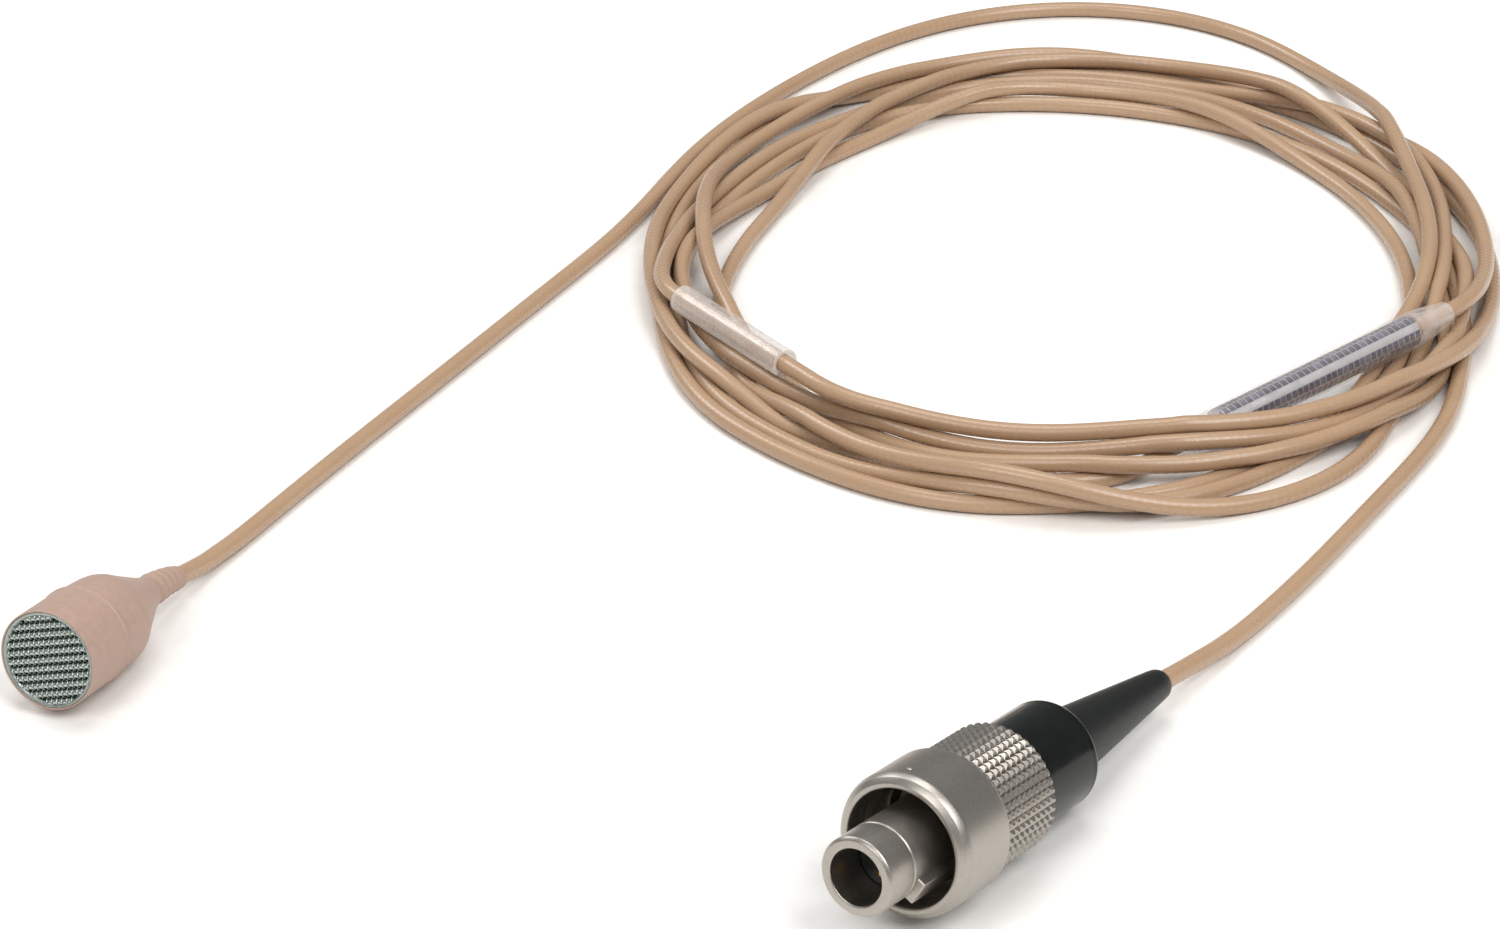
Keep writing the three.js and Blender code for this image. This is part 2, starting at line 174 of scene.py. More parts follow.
# %% Floor and light
floor_white = grained("pale_paper_sheet", "f0eeea", "f6f4f1", 3, (0.75, 0.85), 0.01)
floor_mesh = bpy.data.meshes.new("floor")
REACH = 3
BELOW = 0.03 * MM  # so that nothing that lies on the floor shares a face with it
floor_mesh.from_pydata(
    [(x, y, -BELOW) for x, y in ((-REACH, -REACH), (REACH, -REACH), (REACH, REACH), (-REACH, REACH))],
    [],
    [(0, 1, 2, 3)],
)
floor_mesh.materials.append(floor_white)
floor = put("floor", floor_mesh)

world = bpy.data.worlds.new("tent")
world.use_nodes = True
backdrop = world.node_tree.nodes["Background"].inputs
backdrop["Color"].default_value = colour("f2f4f6")
backdrop["Strength"].default_value = 0.3
bpy.context.scene.world = world
bpy.context.scene.view_settings.view_transform = "Standard"

AIM = Vector((0.04, 0.05, 0))
for name, place, size, power in (
    ("softbox_right", (0.45, -0.15, 0.55), 0.4, 3.2),
    ("softbox_top", (-0.02, 0.2, 0.7), 0.4, 1.8),
    ("softbox_left", (-0.6, 0.27, 0.56), 0.4, 2.2),
    ("softbox_front", (-0.05, -0.5, 0.5), 0.35, 1.6),
):
    data = bpy.data.lights.new(name, "AREA")
    data.size = size
    data.energy = power
    lamp = put(name, data)
    lamp.location = place
    lamp.rotation_euler = (AIM - Vector(place)).to_track_quat("-Z", "Y").to_euler()

# %% [markdown]
# ## The cable's route
# The cable leaves the head, lies in a long arc behind the coil and drops into it. Its turns are not
# stacked neatly: each wanders in and out and rides over its neighbours. A physics simulation of
# nearly two metres of cable would need minutes and would never land the same way twice. Here each
# turn is laid like a clock, with a distance from the middle and a height at every hour, and
# a short relaxation then stiffens the line and pushes turns apart where they share the same space.

# %% Route of the cable: tail, turns and lead
CABLE_RADIUS = 0.675
TAIL = [
    (0.1, 12.5, 0.95), (0.4, 17, 0.72), (0.9, 27, 0.7), (1.8, 40, 0.7), (2.9, 56, 0.7), (3.9, 72, 0.7),
    (4.3, 78, 0.7), (3.8, 84, 0.7), (3.4, 95, 0.7), (4.3, 105, 0.7), (5.8, 113, 0.7), (7.8, 120.3, 0.7),
    (10.3, 126.7, 0.7), (13.4, 131.7, 0.7), (17, 135.5, 0.7), (21, 138.3, 0.7), (25.5, 140.2, 0.7),
    (30.5, 140.8, 0.7), (35.5, 140.4, 0.7), (40.6, 138.4, 1.0), (46.8, 134, 1.9), (52.9, 127, 3.2),
    (57.9, 119.1, 4.2), (61.5, 111.5, 4.6),
]
LEAD = [
    (76.3, 71.5, 0.9), (76.3, 66, 0.8), (75.8, 62.5, 0.75), (75.3, 58, 0.7), (74, 48.5, 0.7), (72.8, 40, 0.7),
    (71.4, 33, 0.72), (70.4, 28.5, 0.95), (69.35, 24, 1.55),
]
# One row for each turn, from 3 o'clock on: distance from the middle, then height, hour by hour.
TURN_REACH = [
    [30, 28, 30, 33, 34.8, 34.5, 33.2, 33, 33.5, 34, 34, 35.5],
    [35, 32.5, 29.5, 27, 28.5, 31, 32, 29.5, 30, 31.5, 32, 31],
    [30.5, 32.4, 31.5, 30, 29.5, 28.5, 29.5, 31.5, 32.5, 33.9, 35, 36],
    [34.5, 30, 27, 30, 31, 34, 33.5, 33.5, 33, 32.5, 33.5, 35.5],
    [31, 30, 34.4, 34.2, 33.2, 31, 27.2, 25, 28.5, 33, 34, 33],
    [32, 31.8, 30.2, 27.2, 29, 31, 31.5, 26.5, 26, 28.5, 28, 27.7],
    [28, 28, 30.5, 33.5, 34, 34, 31, 29, 28.5, 27.3, 28, 29.8],
    [31.3, 33.4],
]
TURN_HEIGHT = [
    [4.2, 1.9, 0.8, 0.7, 0.7, 0.7, 0.7, 0.7, 0.7, 0.7, 0.7, 0.7],
    [1.2, 2.3, 3.8, 3.1, 2.9, 3.6, 2.8, 1.9, 1.9, 1.9, 1.9, 2],
    [0.7, 2, 2.7, 2.4, 1, 0.8, 3.3, 2.4, 2, 1.1, 1.2, 1.6],
    [3.4, 3.2, 2, 0.8, 0.7, 2.1, 1.8, 0.9, 0.7, 0.7, 0.7, 1.4],
    [2.1, 0.7, 0.7, 2.1, 1.9, 0.7, 0.9, 2.2, 2.8, 3.2, 3.1, 2.4],
    [0.8, 2.3, 3.4, 2.7, 2, 1.9, 1.4, 1.1, 1.7, 1.9, 1.9, 1.6],
    [0.8, 0.7, 0.7, 0.7, 0.8, 0.7, 0.7, 0.7, 0.7, 0.7, 0.7, 0.7],
    [0.7, 0.7],
]
COIL_MIDDLE = (40.5, 84.05)
COIL_TURN = math.radians(22.3)
COIL_STRETCH = 1.263

turns = []
heights = sum(TURN_HEIGHT, [])
for step, reach in enumerate(sum(TURN_REACH, [])):
    clock = math.radians(90 - 30 * (3 + step))
    wide = reach * math.cos(clock)
    deep = COIL_STRETCH * reach * math.sin(clock)
    x = COIL_MIDDLE[0] + wide * math.cos(COIL_TURN) - deep * math.sin(COIL_TURN)
    y = COIL_MIDDLE[1] + wide * math.sin(COIL_TURN) + deep * math.cos(COIL_TURN)
    turns.append((x, y, heights[step]))
hand_laid = np.array(TAIL + turns + LEAD)
print("hand-laid points:", len(hand_laid))


# %% [markdown]
# ## One smooth line through the points
# A line through given points should pass each of them without overshooting between close ones.
# A Catmull-Rom spline whose knots are spaced by the square root of each chord does both. The line
# is then cut into equal steps, because the relaxation treats every step as the same bit of cable.

# %% Smooth line, cut into equal steps
def smooth_line(points, step):
    """A smooth line through the points, cut into equal steps."""
    chord = np.linalg.norm(np.diff(points, axis=0), axis=1) ** 0.5
    knot = np.concatenate([[-chord[0]], [0], np.cumsum(chord), [chord.sum() + chord[-1]]])
    p = np.vstack([2 * points[0] - points[1], points, 2 * points[-1] - points[-2]])
    fine = []
    for i in range(1, len(p) - 2):
        span = knot[i + 1] - knot[i]
        leave = span * (p[i + 1] - p[i - 1]) / (knot[i + 1] - knot[i - 1])
        arrive = span * (p[i + 2] - p[i]) / (knot[i + 2] - knot[i])
        for t in np.linspace(0, 1, 12, endpoint=False):
            stay = (2 * t**3 - 3 * t**2 + 1) * p[i] + (3 * t**2 - 2 * t**3) * p[i + 1]
            fine.append(stay + (t**3 - 2 * t**2 + t) * leave + (t**3 - t**2) * arrive)
    fine = np.array(fine + [p[-2]])
    run = np.concatenate([[0], np.cumsum(np.linalg.norm(np.diff(fine, axis=0), axis=1))])
    even = np.linspace(0, run[-1], int(round(run[-1] / step)) + 1)
    return np.stack([np.interp(even, run, fine[:, k]) for k in range(3)], axis=1)


STEP = 1.5
line = smooth_line(hand_laid, STEP)
print("steps of cable to relax:", len(line))

# %% [markdown]
# ## The two straight stretches
# The clear keeper slides on the cable and the label is shrunk round it, so the cable runs straight
# through both. The stretch nearest to each is laid on its axis and held there, and it counts as
# thicker, so that other turns keep off the sleeve as well as off the cable.

# %% Hold the cable straight in its keeper and its label
KEEPER_RADIUS = 1.15
LABEL_RADIUS = 1.45
keeper_from, keeper_to = np.array([16.5, 60.7, 3.6]), np.array([28.3, 53.0, 3.6])
label_from, label_to = np.array([59.0, 55.3, 1.55]), np.array([72.9, 81.2, 3.5])
slide_back, slide_on = (abs(limit) / MM + 0.2 for limit in frame["joints"][1]["range_m"])
keeper_axis = (keeper_to - keeper_from) / np.linalg.norm(keeper_to - keeper_from)
thickness = np.full(len(line), CABLE_RADIUS)
held = np.zeros(len(line), bool)
held[:4] = held[-4:] = True
for start, end, radius in (
    (keeper_from - slide_back * keeper_axis, keeper_to + slide_on * keeper_axis, KEEPER_RADIUS),
    (label_from, label_to, LABEL_RADIUS),
):
    count = int(np.linalg.norm(end - start) / STEP) + 1
    best = (math.inf, 0, None)
    for straight in (np.linspace(start, end, count), np.linspace(end, start, count)):
        for first in range(len(line) - count):
            off = np.abs(line[first : first + count] - straight).sum()
            if off < best[0]:
                best = (off, first, straight)
    off, first, straight = best
    line[first : first + count] = straight
    held[first : first + count] = True
    thickness[first : first + count] = radius
    print("straight stretch from step", first, "mean move", round(off / count / 3, 2), "mm")


# %% [markdown]
# ## Relaxing the coil
# A cable resists bending and cannot pass through itself. Bending is the difference between a point
# and the mean of its neighbours; taking the same difference once more and subtracting it stiffens
# the line without shrinking it. Contact is found between pairs of steps closer than the sum of
# their thicknesses, measured square to the cable, and each such pair is pushed half the lack
# apart. A small pull down and a small pull back to the laid shape keep the turns lying in place.

# %% Relax the coil
def stiffen(points, rounds):
    """Evens out how sharply the line bends, but leaves the held steps."""
    for _ in range(rounds):
        bend = np.zeros_like(points)
        bend[1:-1] = (points[:-2] + points[2:]) / 2 - points[1:-1]
        change = np.zeros_like(points)
        change[1:-1] = (bend[:-2] + bend[2:]) / 2 - bend[1:-1]
        points = points - np.where(held[:, None], 0, STIFFNESS * change)
    return points


STIFFNESS = 0.45
ROUNDS, SETTLING = 240, 12  # the last rounds are contact only
ALONG = 5  # mm along the cable within which it does not count as touching itself
REACH_OF_TOUCH = 4  # mm, how far apart two steps may be and still be looked at
AIR = 0.02  # mm left between turns
SAG, RETURN = 0.006, 0.02  # mm down, and share of the way back to where it was laid, each round
line = stiffen(line, ROUNDS // 2)
laid = line.copy()
one, other = np.triu_indices(len(line), k=int(ALONG / STEP) + 2)
for round_number in range(ROUNDS):
    if round_number % 8 == 0:
        close = ((line[one] - line[other]) ** 2).sum(1) < REACH_OF_TOUCH**2
        a, b = one[close], other[close]
    along = np.gradient(line, axis=0)
    along /= np.linalg.norm(along, axis=1)[:, None]
    gap = line[a] - line[b]
    ahead = (gap * along[b]).sum(1)
    square = gap - ahead[:, None] * along[b]
    distance = np.maximum(np.linalg.norm(square, axis=1), 1e-3)
    needed = thickness[a] + thickness[b] + AIR
    touch = (np.abs(ahead) < 0.6 * STEP) & (distance < needed)
    push = square[touch] / distance[touch, None] * ((needed - distance)[touch, None] / 2)
    move, pushes = np.zeros_like(line), np.zeros(len(line))
    for steps, sign in ((a[touch], 1), (b[touch], -1)):
        np.add.at(move, steps, sign * push)
        np.add.at(pushes, steps, 1)
    move /= np.maximum(pushes, 1)[:, None] ** 0.7
    line = line + np.where(held[:, None], 0, move)
    if round_number < ROUNDS - SETTLING:
        line = stiffen(line, 9)
        line[:, 2] -= np.where(held, 0, SAG)
        line[:, :2] += np.where(held[:, None], 0, RETURN * (laid - line)[:, :2])
    line[:, 2] = np.maximum(line[:, 2], CABLE_RADIUS)
overlap = (thickness[one] + thickness[other] - np.linalg.norm(line[one] - line[other], axis=1)).max()
print("deepest overlap left:", round(float(overlap), 3), "mm")
print("highest turn:", round(float(line[:, 2].max()), 2), "mm")

# %% [markdown]
# ## Where the turned parts lie
# The head and the plug were turned on a lathe, so each is described on its own axis: a radius and a
# distance behind its front face. The record gives a point on each front ring, the way it faces, and
# a point on the nut's axis. A matrix for each is built from those, once.

# %% Axes of the head and the plug
mounts = {mount["name"]: mount for mount in frame["record"]["mounts"]}
nut_joint = frame["joints"][0]


def lathe_axis(face, outward):
    """Matrix in mm whose Y axis runs back from the face, and whose Z axis points up."""
    back = -Vector(outward).normalized()
    across = back.cross(Vector((0, 0, 1))).normalized()
    matrix = Matrix((across, back, across.cross(back))).transposed().to_4x4()
    matrix.translation = Vector(face) / MM
    return matrix


RIM_RADIUS = 3.33  # the head's mount lies this far to the side of its axis
head_mount, plug_mount = mounts["head_front_rim"], mounts["plug_tube_ring"]
head_axis = lathe_axis(Vector(head_mount["pos_m"]) - Vector((RIM_RADIUS * MM, 0, 0)), head_mount["axis"])
plug_out = Vector(plug_mount["axis"]).normalized()
on_axis = Vector(nut_joint["pos_m"])
plug_face = on_axis + plug_out * (Vector(plug_mount["pos_m"]) - on_axis).dot(plug_out)
plug_axis = lathe_axis(plug_face, plug_out)
print("plug face at", [round(v / MM, 2) for v in plug_face], "mm")

# %% [markdown]
# ## The cable itself
# A curve with a round bevel would be the quick way to a cable. A mesh tube gives its own UV map
# as well, with one unit round the cable and one for each millimetre along it, and the braid under
# the jacket needs that to follow every bend. The line is continued into the boot of the head and
# into the plug, so that both ends are inside what grips them.

# %% Build the cable
CABLE_SIDES = 14
NECK_AT, BOOT_END, BOOT_DROOP = 13.4, 17.5, 0.4


def droop(along):
    """How far the boot hangs below the head's axis there."""
    return BOOT_DROOP * (max(0, along - NECK_AT) / (BOOT_END - NECK_AT)) ** 2


head_end = [head_axis @ Vector((0, s, -droop(s))) for s in (8.45, 11, NECK_AT, 15.4, BOOT_END)]
plug_end = [plug_axis @ Vector((0, s, 0)) for s in (36.6, 29, 22, 16.75)]
route = smooth_line(np.array([*head_end, *line, *plug_end]), 1.0)


def tube(name, path, radius, sides, material):
    """A closed tube along the path, with a UV map: round it, and millimetres along it."""
    heading = np.gradient(path, axis=0)
    heading /= np.linalg.norm(heading, axis=1)[:, None]
    side = np.cross(heading[0], (0, 0, 1))
    points = []
    for here, ahead in zip(path, heading):
        side = side - ahead * side.dot(ahead)
        side /= np.linalg.norm(side)
        other_side = np.cross(ahead, side)
        for k in range(sides):
            turn = 2 * math.pi * k / sides
            points.append((here + radius * (math.cos(turn) * side + math.sin(turn) * other_side)) * MM)
    faces, uvs = [], []
    for i in range(len(path) - 1):
        for k in range(sides):
            nxt = (k + 1) % sides
            faces.append((i * sides + k, i * sides + nxt, (i + 1) * sides + nxt, (i + 1) * sides + k))
            uvs += [(k / sides, i), ((k + 1) / sides, i), ((k + 1) / sides, i + 1), (k / sides, i + 1)]
    faces.append(tuple(reversed(range(sides))))
    faces.append(tuple((len(path) - 1) * sides + k for k in range(sides)))
    uvs += [(k / sides, 0) for k in reversed(range(sides))]
    uvs += [(k / sides, len(path) - 1) for k in range(sides)]
    mesh = bpy.data.meshes.new(name)
    mesh.from_pydata(points, [], faces)
    mesh.uv_layers.new(name="jacket").data.foreach_set("uv", np.array(uvs).ravel())
    mesh.shade_smooth()
    mesh.materials.append(material)
    return put(name, mesh)


# %% [markdown]
# ## The cable's jacket
# The jacket is thin extruded elastomer, skin-coloured and a little translucent, over a braided
# screen. The braid shows through as a fine criss-cross that catches the light in small bright
# dots. Two families of helices, one running each way round, multiply into that criss-cross. Its
# crossings are also painted a little paler: partly the braid showing through, partly a painted glint.

# %% Jacket over braid: satin, with a criss-cross whose crossings carry painted glints
BRAID_PITCH = 0.75  # mm along the cable from one crossing to the next
BRAID_STRANDS = 5
jacket, tree, surface = start_material(
    "extruded_elastomer_jacket",
    {
        "Subsurface Weight": 0.1,
        "Subsurface Radius": (0.8, 0.5, 0.3),
        "Subsurface Scale": 0.5 * MM,
        "Specular IOR Level": 0.6,
    },
)
where = add(tree, "ShaderNodeUVMap", uv_map="jacket")
axes = add(tree, "ShaderNodeSeparateXYZ", {0: where})
strands = []
for direction in (1, -1):
    lean = direction * math.pi / BRAID_PITCH
    along = add(tree, MATHS, {0: axes.outputs[1], 1: lean}, operation="MULTIPLY")
    helix = add(
        tree,
        MATHS,
        {0: axes, 1: 2 * math.pi * BRAID_STRANDS, 2: along},
        operation="MULTIPLY_ADD",
    )
    strands.append(add(tree, MATHS, {0: helix}, operation="SINE"))
crossing = add(tree, MATHS, {0: strands[0], 1: strands[1]}, operation="MULTIPLY")
raised = add(tree, "ShaderNodeMapRange", {0: crossing, 1: -1.0, 2: 1.0})
spot = add(tree, "ShaderNodeTexCoord")
patches = {"Vector": spot.outputs["Object"], "Scale": 1 / (9 * MM), "Detail": 2.0}
cloud = add(tree, "ShaderNodeTexNoise", patches)
skin = add(
    tree,
    "ShaderNodeMix",
    {0: cloud, 6: colour("a5866a"), 7: colour("b49577")},
    data_type="RGBA",
)
# The crossings are painted paler: partly the braid under the jacket, partly a painted glint.
braid_and_painted_glint = add(tree, "ShaderNodeMapRange", {0: raised, 1: 0.6, 2: 1.0, 3: 0.0, 4: 0.07})
tint = add(
    tree,
    "ShaderNodeMix",
    {0: braid_and_painted_glint, 6: skin.outputs[2], 7: colour("e2cdb2")},
    data_type="RGBA",
)
gloss = add(tree, "ShaderNodeMapRange", {0: raised, 3: 0.36, 4: 0.2})
relief = add(tree, "ShaderNodeBump", {"Height": raised, "Distance": 0.005 * MM})
wire(tree, surface, {"Base Color": tint.outputs[2], "Roughness": gloss, "Normal": relief})

cable = tube("cable", route, CABLE_RADIUS, CABLE_SIDES, jacket)

# %% [markdown]
# ## Turning a part
# Nearly everything on the head and the plug is a figure of revolution. A Screw modifier would spin a
# profile, but its seam and its sharp corners then need work. Here the profile's corners are first
# eased with a short arc, as a deburring tool leaves them, and then carried round. A weighted
# normal modifier keeps the long flats flat although their edges are soft.

# %% Lathe
NEARLY_STRAIGHT = -0.94  # cosine between the two sides of a corner that is left as it is


def eased(profile, ease):
    """Every corner sharper than 20 degrees becomes a short arc."""
    out = []
    for i, here in enumerate(profile):
        here = np.array(here, float)
        to_last, to_next = profile[i - 1] - here, profile[(i + 1) % len(profile)] - here
        last, nxt = np.linalg.norm(to_last), np.linalg.norm(to_next)
        if np.dot(to_last, to_next) / (last * nxt) < NEARLY_STRAIGHT:
            out.append(here)
            continue
        cut = min(ease, 0.4 * last, 0.4 * nxt)
        begin, end = here + to_last / last * cut, here + to_next / nxt * cut
        out += [(1 - t) ** 2 * begin + 2 * t * (1 - t) * here + t**2 * end for t in (0, 0.33, 0.67, 1)]
    return out


def turned(name, axis, profile, material, ease=0.06, sides=96, sink=None, slit=None):
    """A ring turned from a closed profile of (radius, distance behind the face) in mm.

    sink lowers it along its length; slit, an angle and a width, leaves it open lengthwise there."""
    profile = eased(profile, ease)
    rows = len(profile)
    points, faces = [], []
    begin, sweep = (slit[0] + slit[1] / 2, 2 * math.pi - slit[1]) if slit else (0, 2 * math.pi)
    for k in range(sides):
        turn = begin + sweep * k / (sides - 1 if slit else sides)
        for radius, along in profile:
            drop = sink(along) if sink else 0
            local = Vector((radius * math.cos(turn), along, radius * math.sin(turn) - drop))
            points.append((axis @ local) * MM)
        if slit and k == sides - 1:
            break
        for i in range(rows):
            j, across = (i + 1) % rows, (k + 1) % sides * rows
            faces.append((k * rows + i, k * rows + j, across + j, across + i))
    if slit:
        faces += [tuple(range(rows)), tuple((sides - 1) * rows + i for i in range(rows))]
    return solid(name, points, faces, material)


def solid(name, points, faces, material):
    """A closed piece with its faces turned outwards and its flats kept flat."""
    mesh = bpy.data.meshes.new(name)
    mesh.from_pydata(points, [], faces)
    weld(mesh, 1e-7)
    mesh.shade_smooth()
    mesh.materials.append(material)
    piece = put(name, mesh)
    piece.modifiers.new("flat_flats", "WEIGHTED_NORMAL").keep_sharp = True
    return piece


# %% [markdown]
# ## The head's housing
# The housing is two beige mouldings with a matt paint, so it takes make-up tones and hides on a
# cheek. A fine raised ring marks where the front sleeve is pressed on. Behind it the rear moulding
# tapers, rounds over a shoulder and narrows in a cone to the cable's boot.

# %% Front sleeve, rear body and boot
# Matt paint over moulded ABS: a soft broad highlight with a very fine orange peel.
housing_paint = grained("matt_painted_abs", "a78c7e", "b09486", 0.5, (0.5, 0.62), 0.004)
# The boot is softer: cast elastomer in the same tone, a little duller and rougher.
boot_rubber = grained("moulded_soft_boot", "a68a7a", "af9383", 0.3, (0.55, 0.7), 0.008)
SLEEVE_RADIUS = 3.53
SEAM_AT = 4.72
front_sleeve = turned(
    "sleeve_front",
    head_axis,
    [
        (3.42, 0), (SLEEVE_RADIUS, 0), (SLEEVE_RADIUS, SEAM_AT - 0.3), (SLEEVE_RADIUS + 0.09, SEAM_AT - 0.2),
        (SLEEVE_RADIUS + 0.09, SEAM_AT - 0.03), (SLEEVE_RADIUS, SEAM_AT), (3.23, SEAM_AT), (3.23, 1.25),
        (3.42, 1.25),
    ],
    housing_paint,
)
rear_body = turned(
    "body_rear",
    head_axis,
    [
        (3.18, 3.6), (3.18, SEAM_AT + 0.05), (3.47, SEAM_AT + 0.05), (3.42, 6.3), (3.35, 7.4), (3.27, 7.95),
        (3.12, 8.4), (2.9, 8.85), (2.35, 10.1), (1.75, 11.5), (1.5, 12.1), (1.3, 12.7), (1.18, 13.1),
        (1.12, NECK_AT), (0.86, NECK_AT), (0.86, 10.6), (2.55, 7.6), (3.04, 6.6), (3.04, 3.6),
    ],
    housing_paint,
)
BOOT_RINGS = 4
boot_profile = []
for k in range(BOOT_RINGS):
    middle = NECK_AT + 0.6 + k * 0.86
    taper = 1.14 - 0.07 * k
    boot_profile += [(taper - 0.05, middle - 0.3), (taper + 0.05, middle), (taper - 0.07, middle + 0.3)]
boot_profile += [(0.88, 17.1), (0.83, BOOT_END), (0.74, BOOT_END), (0.74, 15.5), (0.74, NECK_AT + 0.05)]
boot_profile += [(1.12, NECK_AT + 0.05)]
boot = turned("boot", head_axis, boot_profile, boot_rubber, ease=0.12, sides=64, sink=droop)
print("housing pieces:", front_sleeve.name, rear_body.name, boot.name)

# %% [markdown]
# ## The grille
# The grille is a disc of woven stainless cloth: thick straight wires, and thin ones that go over
# and under them. An image or a bump could fake it from afar, but its ridges catch the light and its
# gaps are black, so it is woven as geometry. In Geometry Nodes a row of points carries one wire
# each, cut to the disc's width there. A cosine lifts the thin wires over the thick ones, and its
# sign changes from each thin wire to the next.

# %% Geometry Nodes: woven wire disc
def growth(name, inputs):
    """An empty Geometry Nodes tree with those named inputs, and the sockets that they arrive at."""
    tree = bpy.data.node_groups.new(name, "GeometryNodeTree")
    for label, kind in inputs.items():
        tree.interface.new_socket(label, in_out="INPUT", socket_type="NodeSocket" + kind)
    tree.interface.new_socket("Mesh", in_out="OUTPUT", socket_type="NodeSocketGeometry")
    return tree, add(tree, "NodeGroupInput").outputs


def ripen(tree, parts, finish):
    """Ends a tree: its instances become real, and all of it gets the finish."""
    real = add(tree, "GeometryNodeRealizeInstances", {0: parts})
    painted = add(tree, "GeometryNodeSetMaterial", {"Geometry": real, "Material": finish})
    add(tree, "NodeGroupOutput", {0: painted})
    print(tree.name, "has", len(tree.nodes), "nodes")


weave, given = growth(
    "woven_wire_disc",
    {
        "Disc Radius": "Float",
        "Rib Spacing": "Float",
        "Rib Radius": "Float",
        "Wire Spacing": "Float",
        "Wire Radius": "Float",
        "Finish": "Material",
    },
)
together = add(weave, "GeometryNodeJoinGeometry")
for spacing, radius, turn, wavy in (
    (given["Rib Spacing"], given["Rib Radius"], 0.0, False),
    (given["Wire Spacing"], given["Wire Radius"], math.pi / 2, True),
):
    # A row of points across the disc, one for each wire.
    across = add(weave, MATHS, {0: given["Disc Radius"], 1: spacing}, operation="DIVIDE")
    half = add(weave, MATHS, {0: across, 1: 0.02}, operation="SUBTRACT")
    whole = add(weave, MATHS, {0: half}, operation="FLOOR")
    count = add(weave, MATHS, {0: whole, 1: 2.0, 2: 1.0}, operation="MULTIPLY_ADD")
    edge = add(weave, MATHS, {0: whole, 1: spacing}, operation="MULTIPLY")
    below = add(weave, MATHS, {0: edge, 1: -1.0}, operation="MULTIPLY")
    begin = add(weave, "ShaderNodeCombineXYZ", {"Y": below})
    pace = add(weave, "ShaderNodeCombineXYZ", {"Y": spacing})
    row = add(
        weave,
        "GeometryNodeMeshLine",
        {"Count": count, "Start Location": begin, "Offset": pace},
    )
    # Each wire is as long as the disc is wide there.
    spot = add(weave, "GeometryNodeInputPosition")
    axes = add(weave, "ShaderNodeSeparateXYZ", {0: spot})
    out = add(weave, MATHS, {0: axes.outputs["Y"], 1: given["Disc Radius"]}, operation="DIVIDE")
    sine = add(weave, MATHS, {0: out}, operation="ARCSINE")
    share = add(weave, MATHS, {0: sine}, operation="COSINE")
    reach = add(weave, MATHS, {0: share, 1: given["Disc Radius"]}, operation="MULTIPLY")
    scale = add(weave, "ShaderNodeCombineXYZ", {"X": reach, "Y": 1.0, "Z": 1.0})
    straight = add(weave, "GeometryNodeCurvePrimitiveLine", {"Start": (-1, 0, 0), "End": (1, 0, 0)})
    fine = add(weave, "GeometryNodeResampleCurve", {"Curve": straight, "Count": 72 if wavy else 8})
    wires = add(
        weave,
        "GeometryNodeInstanceOnPoints",
        {"Points": row, "Instance": fine, "Scale": scale},
    )
    real = add(weave, "GeometryNodeRealizeInstances", {0: wires})
    shape = real.outputs[0]
    if wavy:
        here = add(weave, "GeometryNodeInputPosition")
        split = add(weave, "ShaderNodeSeparateXYZ", {0: here})
        over = add(weave, MATHS, {0: split.outputs["X"], 1: given["Rib Spacing"]}, operation="DIVIDE")
        which = add(weave, MATHS, {0: split.outputs["Y"], 1: spacing}, operation="DIVIDE")
        half_turns = add(weave, MATHS, {0: which, 1: math.pi}, operation="MULTIPLY")
        parity = add(weave, MATHS, {0: half_turns}, operation="COSINE")
        phase = add(weave, MATHS, {0: over, 1: math.pi}, operation="MULTIPLY")
        wave = add(weave, MATHS, {0: phase}, operation="COSINE")
        signed = add(weave, MATHS, {0: wave, 1: parity}, operation="MULTIPLY")
        both = add(weave, MATHS, {0: given["Rib Radius"], 1: given["Wire Radius"]}, operation="ADD")
        lift = add(weave, MATHS, {0: signed, 1: both}, operation="MULTIPLY")
        offset = add(weave, "ShaderNodeCombineXYZ", {"Z": lift})
        bent = add(weave, "GeometryNodeSetPosition", {"Geometry": shape, "Offset": offset})
        shape = bent.outputs[0]
    outline = {"Resolution": 5 if wavy else 10, "Radius": radius}
    circle = add(weave, "GeometryNodeCurvePrimitiveCircle", outline)
    rod = add(
        weave,
        "GeometryNodeCurveToMesh",
        {"Curve": shape, "Profile Curve": circle, "Fill Caps": True},
    )
    laid_out = add(weave, "GeometryNodeTransform", {"Geometry": rod, "Rotation": (0, 0, turn)})
    weave.links.new(laid_out.outputs[0], together.inputs[0])
ripen(weave, together.outputs[0], given["Finish"])


# %% [markdown]
# ## From node tree to plain mesh
# A Geometry Nodes modifier is read by its sockets' identifiers, which stay the same when a label
# is translated. The modifier is evaluated once, its result is copied to a plain mesh, and the
# modifier goes away, so the scene holds exactly what was made.

# %% Run a node tree once and keep its mesh
def grown(name, tree, values, place, base=None):
    """The tree's mesh, made with those named inputs and put in place by a matrix."""
    seed = put(name + "_seed", base or bpy.data.meshes.new(name + "_seed"))
    modifier = seed.modifiers.new("grow", "NODES")
    modifier.node_group = tree
    for item in tree.interface.items_tree:
        if item.in_out == "INPUT" and item.name in values:
            modifier[item.identifier] = values[item.name]
    seed.update_tag()
    graph = bpy.context.evaluated_depsgraph_get()
    mesh = bpy.data.meshes.new_from_object(seed.evaluated_get(graph))
    bpy.data.objects.remove(seed)
    mesh.name = name
    mesh.transform(place)
    weld(mesh, 1e-8)
    print(name, "has", len(mesh.polygons), "faces")
    return put(name, mesh)


# %% [markdown]
# ## Steel for the grille
# Stainless wire cloth is drawn bright and then dulled by handling. Its colour is a neutral, faintly
# green grey, and a fine grain breaks up the reflection. The rim is pressed sheet, darker and duller.

